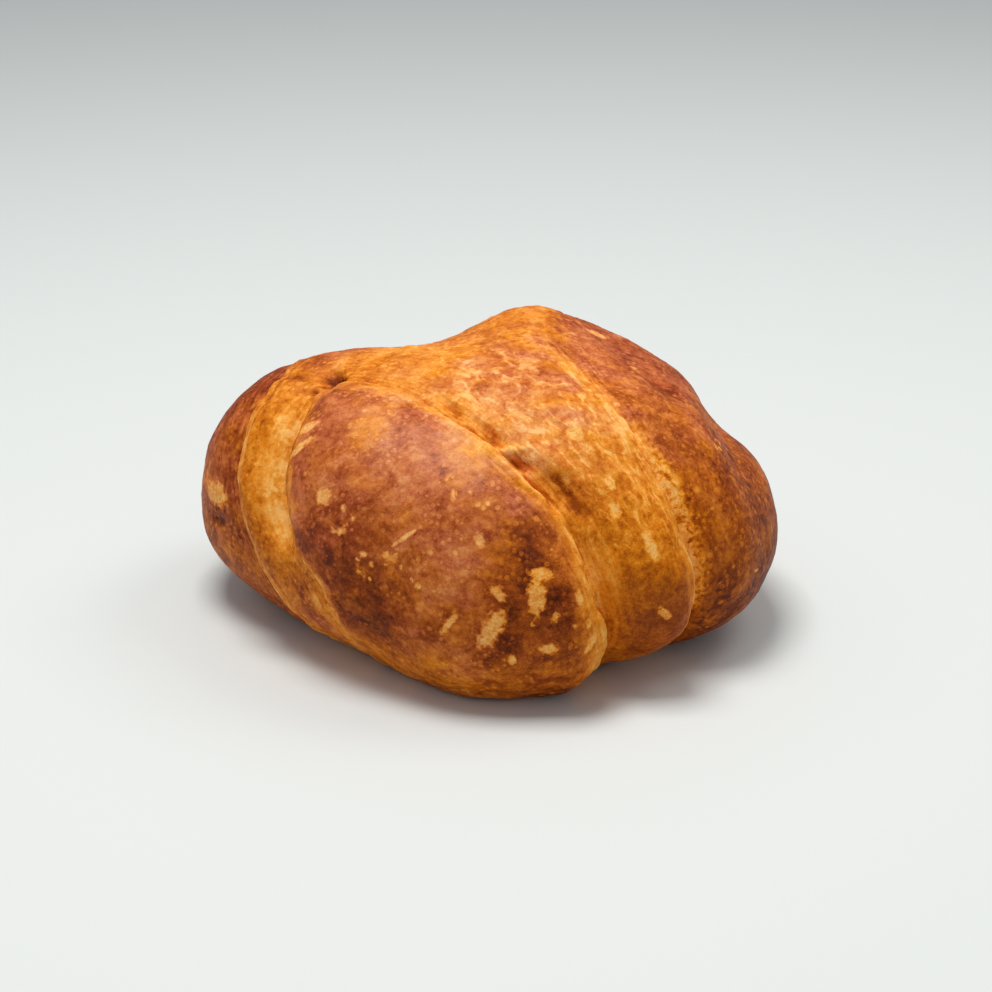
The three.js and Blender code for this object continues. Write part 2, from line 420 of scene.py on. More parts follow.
# %% Ovals laid on the surface
THROUGH = 15.0                            # mm in which an oval fades out, in and out of the body


def on_body(right, back):
    """The direction of a chart place and its point on the body."""
    up = from_chart(np.array([[right, back]], float))
    return up, surface(up, body_radius(up))[0]


def oval(right, back, length, width, turn):
    """Squared distance from the oval's middle, 1 on its rim, measured on the plane that touches the body."""
    up, centre = on_body(right, back)
    east = unit(np.cross([0, 0, 1.0], up[0]))
    north = np.cross(up[0], east)
    turn = math.radians(turn)
    away = plain - centre
    u = away @ (east * math.cos(turn) + north * math.sin(turn)) / (length / 2)
    v = away @ (north * math.cos(turn) - east * math.sin(turn)) / (width / 2)
    w = away @ up[0] / THROUGH
    return u * u + v * v + w * w


DENTS = [                                 # right, back, length, width, turn, height in mm
    (-46, -9, 8, 5.0, -10, -4.2),         # hole at the tip of the flap
    (-49, -13, 9, 1.5, 56, -1.4),         # crease down from the tip
    (-8, -35, 10, 3.2, -38, -1.3),        # pockets along the flap's edge
    (5, -45, 10, 3.2, -50, -1.5),
    (15, -53, 7, 3.6, -12, -1.6),
    (12, -49, 8, 2.4, -5, 0.9),           # curl over the last pocket
    (-88, -18, 7, 3.0, 10, -0.9),         # dent in the left end
    (-84, -10, 12, 5, 15, 0.6),
    (-27, 10, 6, 4, 0, 0.9),              # small swellings on the skyline
    (-52, 20, 18, 12, 0, -1.1),           # the dip left of them
    (23, -50, 12, 6, -55, 1.6),           # swelling beside the flap, and the fold right of it
    (30, -57, 16, 4.5, -62, -1.2),
    (22, -61, 12, 1.3, -42, -0.9),        # doubled edge of the flap
    (-44, -2, 16, 4.0, -15, 0.6),         # folds above the tip
    (-34, -3, 12, 2.6, -30, -0.7),
    (-55, -2, 12, 3.0, 40, -0.8),
    (-26, 2, 9, 4.0, 0, 0.8),
    (43, -22, 14, 9, -50, 0.8),
    (51, 2, 12, 7, 30, -1.2),             # hollow on the right end
    (76, -10, 32, 26, 0, -0.7),           # the rest of the right end, a little slack
    (100, -32, 24, 16, 0, 1.3),           # fuller below that
    (12, 29, 18, 14, 0, 1.1),             # sharper peak, and the slope right of it
    (33, 28, 20, 14, 0, -1.1),
]
for right, back, length, width, turn, height in DENTS:
    relief += height * np.exp(-oval(right, back, length, width, turn) ** 1.5)
print("dents and swellings:", len(DENTS))
print("relief so far, mm:", relief.min().round(1), "to", relief.max().round(1))

# %% [markdown]
# ## Grooves and bulges that follow a seam
# Where the dough was pressed down as it was rolled, a whole stretch of seam is a groove, and the dough
# beside it bulges. An oval can't follow a bent seam, so these are bells across it: so many millimetres
# inside the edge, so wide and so high, and each only along the stretch that its last number picks out.

# %% Grooves and bulges beside the seams
# Each stretch runs from 0 to 1 with the place of the nearest bit of seam, or with the depth of its step.
left_of_tip = smooth_step((on_body(-44, -12)[1][0] - 4 - flap["foot"][:, 0]) / 8)
grooved = left_of_tip * smooth_step(flap["depth"] - 1.2)
low_on_right = smooth_step((flap["foot"][:, 0] - on_body(30, -63)[1][0]) / 8) * (flap["foot"][:, 1] < 0)
low_on_end = smooth_step((right_end["depth"] - 3.5) / 2) * uncovered
PRESSED = [                               # seam, mm inside it, width and height in mm, stretch
    (flap, 1.0, 3.8, -3.8, grooved),      # groove left of the flap
    (flap, -9.0, 5.0, 2.2, grooved),      # bulge of the band beside it
    (flap, -1.5, 2.5, -1.6, low_on_right),         # groove low on the right of the flap
    (flap, 9.0, 8.0, 1.8, low_on_right),           # belly of the flap beside it
    (right_end, 1.5, 2.8, -2.4, low_on_end),       # groove between the knuckle and the right end
    (right_end, -8.0, 6.0, 1.4, low_on_end),       # the knuckle itself
    (left_end, -1.0, 1.1, 0.5, uncovered),         # ridge where the band ends
]
for edge, middle, width, height, stretch in PRESSED:
    relief += height * falloff(edge["offset"] - middle, width) * stretch
in_groove = (grooved > 0.5) & (np.abs(flap["offset"]) < 4)
print("points in the groove left of the flap:", int(in_groove.sum()))

# %% [markdown]
# ## The way the dough was drawn
# Rolling draws the dough out along the seams, and the skin wrinkles and streaks that way. On the second
# roll, between the flap and the right end, a point's place across is its share of the way from the one
# seam to the other, and its place along is the mean of how far it has come down both of them.

# %% Across and along the second roll
SECOND_ROLL_WIDTH = 34.0                  # mm between the two seams, on average
tip = int(np.argmax(directions @ from_chart(np.array([-44.0, -12.0]))))      # the point at the flap's tip
from_flap, from_right = np.abs(flap["offset"]), np.abs(right_end["offset"])
sweep_across = SECOND_ROLL_WIDTH * from_flap / (from_flap + from_right + 1e-6)
sweep_along = (np.abs(flap["along"] - flap["along"][tip]) - right_end["along"]) / 2
on_second_roll = smooth_step(-flap["offset"] / 2) * smooth_step(-right_end["offset"] / 2)
on_second_roll *= smooth_step((plain @ [1.0, 0.35, 0.0] + 22) / 12)         # not left of the hole
print("points on the second roll:", int((on_second_roll > 0.5).sum()))

# %% [markdown]
# ## Swell, wrinkles and blisters
# The slow swell comes first, then the drawn wrinkles of the second roll, then small creases and blisters
# everywhere. Low beside the tray the skin puckers more, and where the seam on the right has torn, the
# layers stand up as crumbs. Wrinkles wide enough to see in outline are shape, and only finer ones are
# left to the material.

# %% Relief of the skin
crumbly = falloff(right_end["offset"] - 3.2, 2.2) * smooth_step((right_end["depth"] - 2.5) / 1.5)
crumbly = crumbly * uncovered * smooth_step((plain[:, 2] - 12) / 8)
crest = smooth_step((plain[:, 2] - 22) / 30)
bent = plain + 2.0 * np.stack([noise(plain, 8.0, 11), noise(plain, 8.0, 12), noise(plain, 8.0, 13)], -1)
wander = 2.2 * noise(plain, 7.0, 14)
drawn = np.stack([(sweep_across + wander) / 2.6, (sweep_along + wander) / 8.0, np.zeros(len(plain))], -1)
# In each line: height in mm, then the places, the size in mm and the seed of the noise.
relief += 0.6 * noise(plain, 22.0, 1) + 0.3 * noise(plain, 9.0, 2)                  # slow swell
relief += 0.32 * noise(drawn, 1.0, 5) * on_second_roll * (0.4 + 0.6 * crest)        # drawn wrinkles
relief += 0.15 * (ridges(bent, 4.2, 6) - 0.3) * on_second_roll * crest              # and creases
relief += 0.10 * (ridges(bent, 3.4, 8) - 0.3)                                       # creases everywhere
relief += 0.07 * noise(plain, 2.0, 7)                                               # blisters
relief += 0.35 * noise(plain, 3.6, 9) * falloff(plain[:, 2] - 4, 6)                 # puckers by the tray
relief += 0.35 * np.maximum(noise(plain, 1.5, 10), -0.3) * crumbly                  # crumbs

final = surface(directions, body_radius(directions) + relief) + lean
final[:, 2] = np.maximum(final[:, 2], 0)
print("loaf, mm:", np.ptp(final, axis=0).round(1))

# %% [markdown]
# ## The mesh
# The points go into one closed mesh, slid so that its box has the same middle as the plain loaf's box.
# foreach_set hands Blender whole arrays at once, which is many times quicker than one point after another.

# %% Make the loaf
middle_of_box = (final.min(0) + final.max(0)) / 2
place = np.array((low + high) / 2) / MM
slide = np.array([place[0] - middle_of_box[0], place[1] - middle_of_box[1], 0])


def mesh_piece(name, points, faces):
    """A smooth-shaded mesh object from points in mm and a table of four-sided faces."""
    mesh = bpy.data.meshes.new(name)
    mesh.vertices.add(len(points))
    mesh.vertices.foreach_set("co", (points * MM).astype(np.float32).ravel())
    mesh.loops.add(faces.size)
    mesh.loops.foreach_set("vertex_index", faces.astype(np.int32).ravel())
    mesh.polygons.add(len(faces))
    mesh.polygons.foreach_set("loop_start", np.arange(0, faces.size, 4, dtype=np.int32))
    mesh.polygons.foreach_set("use_smooth", np.ones(len(faces), bool))
    mesh.update(calc_edges=True)
    mesh.validate()
    piece = bpy.data.objects.new(name, mesh)
    bpy.context.scene.collection.objects.link(piece)
    return piece


loaf = mesh_piece("croissant_loaf", final + slide, quads)
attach(loaf, "root")
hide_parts("croissant")
print("slid by, mm:", slide.round(2))

# %% [markdown]
# ## How brown each place is
# Browning is heat and sugar: the domes stand nearest the heat and go dark, and the dough that was covered
# by the next wrap stays pale. One number says how far each place has baked, from 0, raw cream, to 1, the
# darkest brown. A second says how red the brown is, from 0, golden, to 1, where the egg wash lay thick; high
# on the upper domes it also paints their soft sheen into the colour. No formula gives an oven's uneven heat,
# so both are set at some places of each roll and blended between.

# %% Places of known bake level and redness
# The redness column is egg-wash colour and also painted sheen: high on the upper domes, its pinkish tint
# stands in for a soft gloss
BAKED_PLACES = {                          # right, back, bake level, redness
    "flap": [                             # from its tip down to its rim
        (-46, -31, 0.60, 0.9), (-31, -40, 0.44, 0.5), (-16, -42, 0.53, 1.0), (-42, -52, 0.63, 0.9),
        (-15, -60, 0.55, 0.9), (8, -60, 0.54, 0.8), (-45, -67, 0.74, 0.8), (-2, -74, 0.53, 0.8),
        (23, -72, 0.70, 0.3), (-35, -87, 0.80, 0.4), (-8, -88, 0.61, 0.6), (20, -86, 0.82, 0.3),
        (-40, -104, 0.56, 0.2), (0, -106, 0.60, 0.3), (33, -98, 0.72, 0.2), (0, -150, 0.7, 0.3),
    ],
    "second roll": [                      # from its back down to its knuckle
        (-36, 6, 0.46, 0.1), (-12, -4, 0.45, 0.1), (14, 20, 0.50, 0.25), (16, -4, 0.52, 0.6),
        (-2, -39, 0.36, 0.3), (12, -38, 0.44, 0.5), (24, -38, 0.50, 0.6), (36, -50, 0.50, 0.1),
        (0, -20, 0.51, 0.7), (22, -20, 0.50, 0.7), (16, -50, 0.50, 0.8), (29, -57, 0.60, 0.2),
        (46, -60, 0.53, 0.0), (38, -75, 0.57, 0.0), (55, -70, 0.68, 0.0), (57, -57, 0.55, 0.0),
        (45, -84, 0.60, 0.0), (66, -66, 0.78, 0.3), (50, -95, 0.54, 0.0),
        (-40, 50, 0.60, 0.5), (0, 70, 0.60, 0.5), (0, 120, 0.62, 0.3),            # behind
        (-53, 14, 0.68, 0.8), (-48, 26, 0.64, 0.7),                               # above the hole
        (-64, -12, 0.48, 0.1), (-70, -32, 0.52, 0.1), (-76, -58, 0.60, 0.1),      # band left of the flap
        (-66, -74, 0.68, 0.5), (-60, -85, 0.70, 0.5), (-75, -95, 0.60, 0.1),
    ],
    "right end": [                        # from its top down
        (30, 3, 0.53, 1.0), (46, 18, 0.64, 1.0), (54, -17, 0.64, 0.6), (70, -22, 0.69, 0.3),
        (68, -44, 0.66, 0.2), (99, -28, 0.86, 0.0), (85, -58, 0.74, 0.0), (105, 40, 0.72, 0.4),
        (50, 80, 0.66, 0.6),
    ],
    "left end": [                         # from its top down
        (-68, 10, 0.77, 0.9), (-82, -12, 0.68, 0.5), (-98, -25, 0.66, 0.3), (-92, -48, 0.70, 0.3),
        (-100, 25, 0.76, 0.7), (-80, 90, 0.66, 0.4),
    ],
}
NEAR = 6.0                                # degrees within which one place rules


def blended(places, column):
    """Mean of the column over all places, each counting by one over its squared angle away, squared."""
    total, weights = np.zeros(len(directions)), np.zeros(len(directions))
    for row in places:
        toward = from_chart(np.array(row[:2], float))
        away = np.degrees(np.arccos(np.clip(directions @ toward, -1, 1)))
        weight = (away ** 2 + NEAR ** 2) ** -2.0
        total += weight * row[column]
        weights += weight
    return total / weights


print("places of known colour:", sum(len(places) for places in BAKED_PLACES.values()))

# %% [markdown]
# ## Pale bands and painted shade beside the seams
# Each roll has its own places, so the colour changes at the seams, along a frayed line. The strip that the
# next layer hid from the heat is pale. In the groove left of the flap, the bottom is painted dark as shade,
# and the pale slope into it is painted paler still as light. These bands follow a seam as the grooves do. A
# hollow is painted a little darker than the skin round it as shade, and a swelling a little paler as light.

# %% Bake level, redness and painted shade of each point
# Painted shade and light: a dent is painted darker and a swelling paler, by its height
PAINTED_SHADE_PER_MM = 0.18                      # bake level that a dent adds for each mm of its depth
BASE_BAKE = 0.62                          # on the flat base, which lay on the tray
frayed = 0.5 + 1.1 * noise(plain, 3.2, 23) + 0.6 * noise(plain, 1.3, 24)
shares = {                                # how far each roll's own colour holds, from 0 to 1
    "right end": smooth_step(right_end["offset"] / 3 + frayed),
    "left end": smooth_step(left_end["offset"] / 10 + 0.2 + frayed / 2),
    "flap": smooth_step((flap["offset"] - 8.0 * grooved - 1.2 * (1 - low_on_right)) / 2.2 + 1.2 * frayed),
}
bake_and_shade, ruddy_and_sheen = (blended(BAKED_PLACES["second roll"], column) for column in (2, 3))
for name, share in shares.items():        # the flap lies over the rest, so it comes last
    bake_and_shade += share * (blended(BAKED_PLACES[name], 2) - bake_and_shade)
    ruddy_and_sheen += share * (blended(BAKED_PLACES[name], 3) - ruddy_and_sheen)
torn_right = uncovered * smooth_step(right_end["depth"] - 0.8)
SEAM_BANDS_AND_SHADE = [                            # seam, mm inside it, width in mm, bake level, strength, stretch
    (flap, 1.1, 2.0, 0.34, 0.75, 1 - left_of_tip),          # pale rim of the flap
    (flap, -2.5, 2.6, 0.38, 0.5, 1 - left_of_tip),          # pale skin just outside it
    (flap, 2.6, 4.4, 0.34, 0.88, low_on_right),             # pale lip low on its right
    (left_end, -6.0, 3.0, 0.56, 0.7, uncovered * (1 - on_second_roll)),    # shade along the band
    # Pale dough on the slope into the groove, painted paler still as a highlight where the light falls on it
    (flap, -2.0, 2.6, 0.23, 0.85, grooved),                 # cream slope of the groove
    # Painted shade: the bottom of the groove is painted dark where shade falls
    (flap, 3.6, 3.0, 0.80, 0.9, grooved),                   # dark bottom of the groove
    (flap, 8.2, 0.7, 0.46, 0.5, grooved),                   # a thin pale line beside it
    (right_end, -1.4, 2.5, 0.27, 0.8, torn_right),          # cream rim of the second roll
    (right_end, -5.0, 0.7, 0.34, 0.5, uncovered),
    (left_end, -1.0, 0.9, 0.26, 0.8, uncovered),            # two thin lines of bare layers
    (left_end, -3.0, 0.6, 0.30, 0.6, uncovered),
]
for edge, middle, width, level, strength, stretch in SEAM_BANDS_AND_SHADE:
    share = strength * falloff(edge["offset"] + 0.6 * noise(plain, 4.0, 25) - middle, width) * stretch
    bake_and_shade += share * (level - bake_and_shade)
    ruddy_and_sheen *= 1 - 0.9 * share
ruddy_and_sheen -= 0.5 * crumbly
# Painted shade in each hollow and painted light on each swelling, in proportion to its height
for right, back, length, width, turn, height in DENTS:
    rim = np.exp(-1.6 * oval(right, back, length, width, turn) ** 1.5)
    bake_and_shade -= PAINTED_SHADE_PER_MM * height * falloff(width, 10) * rim       # wide ones hardly change colour
bake_and_shade += 0.05 * noise(plain, 14.0, 21) + 0.04 * noise(plain, 6.0, 22)
bake_and_shade = np.where(plain[:, 2] < 0.5, BASE_BAKE, bake_and_shade)
print("bake level from", bake_and_shade.min().round(2), "to", bake_and_shade.max().round(2))

# %% [markdown]
# ## Flakes
# Where a thin outer layer has lifted or a bubble has burst, the matt pale dough under the glaze shows. Each
# flake is an oval with a ragged rim. Loose shells of mesh could do it too, but these flakes have no
# thickness to see. The number kept on the mesh falls through zero at the rim, so that the material can
# break the rim up more finely than the mesh can. Specks are strewn round a few places by seeded chance.

# %% Pale flakes
FLAKES = [                                # right, back, length, width, turn
    (-44, -54, 4.8, 4.4, 0),
    (-51, -36, 10.0, 2.4, 62),
    (-48, -31, 6.0, 3.4, 60),
    (-19, -72, 9.0, 1.2, 40),
    (5, -73, 3.8, 2.4, -74),
    (24, -77, 6.0, 3.0, -8),
    (24, -82, 9.5, 4.2, -93),
    (11, -92, 12.0, 4.6, 61),
    (-4, -92, 7.0, 1.8, 55),
    (12, -84, 4.4, 2.6, -45),
    (37, -78, 3.8, 2.0, -81),
    (45, -86, 5.6, 1.8, 60),
    (31, -92, 5.0, 2.6, 16),
    (19, -98, 3.2, 2.2, -80),
    (42, -82, 2.8, 1.6, -84),
    (-83, -15, 9.0, 7.0, 10),
    (30, 26, 7.0, 4.0, -106),
    (43, -55, 5.0, 2.6, -93),
    (53, -58, 7.0, 2.2, -77),
    (40, -49, 4.2, 2.6, -90),
    (64, -67, 4.6, 2.2, -53),
    (62, -48, 5.6, 1.2, -93),
    (88, -29, 5.0, 0.9, -21),
    (29, -40, 4.2, 3.8, -55),
]
flake = np.full(len(plain), -1.0)
for right, back, length, width, turn in FLAKES:
    flake = np.maximum(flake, 1 - np.sqrt(oval(right, back, length, width, turn)))
SPECKS = [                                # right, back, how many, spread in mm
    (-38, -64, 9, 5.0), (-24, -76, 6, 4.0), (-34, -76, 7, 5.0), (5, -64, 6, 8.0), (28, -86, 7, 7.0),
    (-12, -82, 6, 7.0), (66, -12, 8, 8.0), (44, 4, 7, 7.0),
]
SPECK_RADIUS = (0.6, 1.1)                 # mm, the least and the most
SPECK_STRENGTH = 0.22                     # specks are fainter than flakes
draws = np.random.default_rng(11)
for right, back, count, spread in SPECKS:
    centre = on_body(right, back)[1]
    for place in centre + draws.normal(size=(count, 3)) * spread / 2:
        place = MIDDLE + unit(place - MIDDLE) * np.linalg.norm(centre - MIDDLE)
        away = np.linalg.norm(plain - place, axis=1)
        flake = np.maximum(flake, np.minimum(1 - away / draws.uniform(*SPECK_RADIUS), SPECK_STRENGTH))
print("flakes:", len(FLAKES), "and points on them:", int((flake > 0).sum()))

# %% [markdown]
# ## What the material needs to know
# A material can't tell a flap from an end, so the mesh carries numbers that can: one per point, each an
# attribute with a name. Beside a seam the skin is fibrous, and its fibres follow the nearest seam, so each
# point also carries its place across and along that seam.

# %% Numbers kept on the mesh
RIM_RADIUS = 65                           # mm from the middle of the loaf to its foot, on average
OWN_FIBRES = 200                          # mm from one seam's stretch of pattern to the next seam's
rim_length = RIM_RADIUS * np.arctan2(plain[:, 0], -plain[:, 1])
base_rim = {"offset": plain[:, 2], "along": rim_length, "depth": 2 * smooth_step(1.5 - plain[:, 2] / 6)}
edges = (flap, right_end, left_end, base_rim)
nearest = np.argmin([np.abs(edge["offset"]) for edge in edges], axis=0)
across = np.choose(nearest, [edge["offset"] for edge in edges])
along = np.choose(nearest, [edge["along"] + OWN_FIBRES * k for k, edge in enumerate(edges)])
fibrous = falloff(across, 7.0) * smooth_step(np.choose(nearest, [edge["depth"] for edge in edges]) / 2)


def keep(piece, name, values):
    """Stores one number per point, or three, on the mesh, where the material can read it."""
    kind = "FLOAT" if values.ndim == 1 else "FLOAT_VECTOR"
    field = "value" if values.ndim == 1 else "vector"
    layer = piece.data.attributes.new(name, kind, "POINT")
    layer.data.foreach_set(field, values.astype(np.float32).ravel())


on_flap = smooth_step(flap["offset"] / 6)
off_peak = 1 - np.exp(-oval(14, 22, 44, 34, 0))
POINT_NUMBERS = {
    # The bake level also holds painted shade in grooves and hollows and painted light on swellings; the
    # redness holds painted sheen
    "bake_and_shade": bake_and_shade,
    "ruddy_and_sheen": ruddy_and_sheen,
    "flake": flake,                       # above zero on a flake
    "crumbly": crumbly,                   # 1 along the torn seam on the right
    "fibrous": fibrous,                   # 1 on a seam
    "across_and_along_seam": np.stack([across, along, np.zeros_like(across)], -1),
    "across_and_along_roll": np.stack([sweep_across, sweep_along, np.zeros_like(across)], -1),
    "blistered": 1 - on_second_roll,      # the second roll was drawn too tight to blister
    "marbled": on_second_roll * smooth_step((plain[:, 2] - 26) / 22) * off_peak,
    "on_flap": on_flap,                   # 1 from 6 mm inside its edge
    "mottled": 0.52 - 0.30 * on_second_roll * smooth_step((40 - plain[:, 2]) / 12),
    "glaze": 0.25 * on_flap * smooth_step((plain[:, 2] - 25) / 25),       # weight of the clear coat
}
for name, values in POINT_NUMBERS.items():
    keep(loaf, name, values)
print("kept on the mesh:", ", ".join(POINT_NUMBERS))

# %% [markdown]
# ## The crust
# The crust is yeast dough brushed with beaten egg and baked hard. To the eye that is a warm brown skin that
# runs from straw to chestnut, satin rather than shiny, with a faint gloss where the egg lay thickest. One
# shader makes it, fed by the numbers on the mesh and by random patterns at the sizes of the real ones.
# Two small helpers come first, one for colour and one that adds a node.

# %% Helpers for materials


def linear(hex_colour):
    """An sRGB hex colour as linear red, green, blue and a full alpha."""
    parts = [int(hex_colour[i:i + 2], 16) / 255 for i in (1, 3, 5)]
    return tuple(c / 12.92 if c <= 0.04045 else ((c + 0.055) / 1.055) ** 2.4 for c in parts) + (1.0,)


def add(tree, kind, inputs=None, **settings):
    """Adds a node with its settings; an input is a value, a socket, or a node for its first output."""
    node = tree.nodes.new(kind)
    for name, value in settings.items():
        setattr(node, name, value)
    for name, value in (inputs or {}).items():
        if isinstance(value, bpy.types.Node):
            value = value.outputs[0]
        if isinstance(value, bpy.types.NodeSocket):
            tree.links.new(value, node.inputs[name])
        else:
            node.inputs[name].default_value = value
    return node


print("golden brown in linear light:", [round(part, 3) for part in linear("#D67808")])

# %% [markdown]
# ## Somewhere for the patterns to lie
# A pattern on Object coordinates stays put on the loaf, and scaled to millimetres its size can be said in
# millimetres. Three patterns are not round but drawn out: sideways on the flap, along the seams, and along
# the second roll. For them the places are squeezed on one axis, and then bent by a slow drift, because
# dough never stretches in straight lines.

# %% Places for round and for drawn-out patterns
DRIFT_SIZE = 7.0                          # mm across one bend of a drawn-out pattern
crust = bpy.data.materials.new("egg_washed_crust")        # satin, from golden to chestnut brown
crust.use_nodes = True
tree = crust.node_tree
tree.nodes.clear()

stored = {name: add(tree, "ShaderNodeAttribute", attribute_name=name) for name in POINT_NUMBERS}
number = {name: node.outputs["Fac"] for name, node in stored.items()}
on_loaf = add(tree, "ShaderNodeTexCoord").outputs["Object"]
in_mm = add(tree, "ShaderNodeMapping", {"Vector": on_loaf, "Scale": (1 / MM, 1 / MM, 1 / MM)})
bends = add(tree, "ShaderNodeTexNoise", {"Vector": in_mm, "Scale": 1 / DRIFT_SIZE, "Detail": 1.0})
drift = bends.outputs["Color"]
DRAWN_OUT = {                             # places, squeeze of each axis, and how far they drift
    "sideways": (in_mm, (0.55, 1, 1), 5.0),
    "along seam": (stored["across_and_along_seam"].outputs["Vector"], (1.1, 0.08, 1), 0.6),
    "along roll": (stored["across_and_along_roll"].outputs["Vector"], (0.46, 0.15, 1), 2.6),
}
ways = {"round": in_mm}
for name, (places, squeeze, wander) in DRAWN_OUT.items():
    squeezed = add(tree, "ShaderNodeMapping", {"Vector": places, "Scale": squeeze})
    ways[name] = add(tree, "ShaderNodeVectorMath", {0: drift, 1: (wander, wander, wander), 2: squeezed},
                     operation="MULTIPLY_ADD")
print("ways a pattern can lie:", ", ".join(ways))

# %% [markdown]
# ## The skin's random patterns
# Each is noise less one half, so that it goes both ways and leaves the mean alone. The sizes are those of
# real crust: blotches as wide as a fingertip's press, freckles of two or three millimetres, grains of one.
# Real pores are about 0.2 mm, too fine to show, so the pinpricks are drawn twice as coarse. Blisters need
# another pattern: scattered cells, with a round spot of random size in the middle of each.

# %% Blotches, freckles, threads and blisters
PATTERNS = {                              # way it lies, size in mm, detail, roughness, distortion
    "blotches": ("round", 8.0, 3.0, 0.55, 0.8),
    "smears": ("sideways", 2.6, 3.0, 0.55, 0.0),
    "freckles": ("round", 2.4, 3.0, 0.55, 0.5),
    "grains": ("round", 1.1, 3.0, 0.55, 0.0),
    "pinpricks": ("round", 0.45, 2.0, 0.55, 0.0),
    "threads": ("along seam", 1.0, 3.0, 0.55, 0.0),
    "strands": ("along roll", 1.0, 4.0, 0.60, 0.0),
    "crumbs": ("round", 1.3, 4.0, 0.55, 0.4),
    "tears": ("round", 1.5, 4.0, 0.55, 0.6),
    "flushes": ("sideways", 6.0, 3.0, 0.55, 0.0),
}
skin = {}
for name, (way, size, detail, rough, distortion) in PATTERNS.items():
    cloud = add(tree, "ShaderNodeTexNoise", {"Vector": ways[way], "Scale": 1 / size, "Detail": detail,
                                             "Roughness": rough, "Distortion": distortion})
    skin[name] = add(tree, "ShaderNodeMath", {0: cloud.outputs["Fac"], 1: 0.5}, operation="SUBTRACT")

RIM_SHARE = 0.15                          # of the spacing, over which the rim of a blister rises
BLISTERS = {                              # spacing and largest radius in mm, and a shift of the pattern
    "fine blisters": (1.5, 0.85, 0.0),
    "large blisters": (8.0, 2.0, 40.0),
}
for name, (spacing, size, shift) in BLISTERS.items():
    shifted = add(tree, "ShaderNodeMapping", {"Vector": in_mm, "Location": (shift, shift, shift)})
    cells = add(tree, "ShaderNodeTexVoronoi", {"Vector": shifted, "Scale": 1 / spacing, "Randomness": 1.0})
    chance = add(tree, "ShaderNodeSeparateColor", {"Color": cells.outputs["Color"]})
    radius = add(tree, "ShaderNodeMath", {0: chance, 1: size / spacing}, operation="MULTIPLY")
    inside_rim = add(tree, "ShaderNodeMath", {0: radius, 1: cells.outputs["Distance"]}, operation="SUBTRACT")
    skin[name] = add(tree, "ShaderNodeMapRange", {"Value": inside_rim, "From Max": RIM_SHARE},
                     interpolation_type="SMOOTHSTEP")
print("patterns:", ", ".join(skin))

# %% [markdown]
# ## Where each pattern shows
# The marbling of the second roll, the crumbs of its torn rim, the flocks of fine blisters and the bare
# flakes all have clear borders. Each takes a pattern through a smooth step, which turns its slopes into
# borders, and multiplies it by the number that says where it belongs. The flakes' own number says where
# they are, so noise only tears its rim. On the flap the freckles give way to smears.

# %% Patterns in their places
torn = number["flake"]
for pattern, strength in ((skin["tears"], 1.5), (skin["pinpricks"], 0.5)):          # coarse, then fine
    torn = add(tree, "ShaderNodeMath", {0: pattern, 1: strength, 2: torn}, operation="MULTIPLY_ADD")
BORDERED = {                              # pattern, where its border starts and ends, what it is held by
    "marbling": (skin["strands"], -0.02, 0.16, number["marbled"]),
    "loose crumbs": (skin["crumbs"], -0.20, 0.10, number["crumbly"]),
    "flocks": (skin["blotches"], -0.10, 0.12, skin["fine blisters"]),
    "bare flakes": (torn, -0.20, 0.40, 0.85),
}
placed = {}
for name, (pattern, start, end, holder) in BORDERED.items():
    step = add(tree, "ShaderNodeMapRange", {"Value": pattern, "From Min": start, "From Max": end},
               interpolation_type="SMOOTHSTEP")
    placed[name] = add(tree, "ShaderNodeMath", {0: step, 1: holder}, operation="MULTIPLY")
either = add(tree, "ShaderNodeMath", {0: placed["flocks"], 1: skin["large blisters"]}, operation="ADD",
             use_clamp=True)
placed["blisters"] = add(tree, "ShaderNodeMath", {0: either, 1: number["blistered"]}, operation="MULTIPLY")
placed["fibres"] = add(tree, "ShaderNodeMath", {0: skin["threads"], 1: number["fibrous"]},
                       operation="MULTIPLY")
placed["mottling"] = add(tree, "ShaderNodeMix", {0: number["on_flap"], 2: skin["freckles"],
                                                 3: skin["smears"]})
print("placed on the loaf:", ", ".join(placed))

# %% [markdown]
# ## From bake level to colour
# The bake level of the mesh, with every pattern added at its own strength, goes through two colour ramps:
# a golden one, as plain dough browns, and a red one, as dough under egg wash browns, paler and pinkish as
# painted sheen. The redness blends the two. Adding the patterns to the level, and not to the colour, keeps
# every spot a colour that baked dough can have.

# %% Colour of the crust
GOLDEN_CRUST = [                          # bake level and sRGB colour, from raw cream to the darkest brown
    (0.00, "#FFE2B0"), (0.17, "#FBC26C"), (0.34, "#F09C34"), (0.52, "#D67808"),
    (0.70, "#A44E00"), (0.86, "#6E2B00"), (1.00, "#421400"),
]
# Egg-washed brown with painted sheen laid in: its paler, pinkish tint stands in for the soft gloss on the
# domes
RUDDY_CRUST_AND_SHEEN = [
    (0.00, "#FBDCB4"), (0.17, "#F4BC80"), (0.34, "#E2955A"), (0.52, "#C6693A"),
    (0.70, "#9A3F12"), (0.86, "#6C2502"), (1.00, "#421000"),
]
PALEST = 0.20                             # no part of this crust is paler than this bake level
STRENGTHS = [                             # what each pattern adds to the bake level
    (skin["blotches"], 0.50), (placed["mottling"], number["mottled"]), (skin["grains"], 0.30),
    (skin["pinpricks"], 0.24), (placed["fibres"], 0.60), (placed["marbling"], -0.22),
    (placed["blisters"], -0.15), (placed["loose crumbs"], -0.42),
]
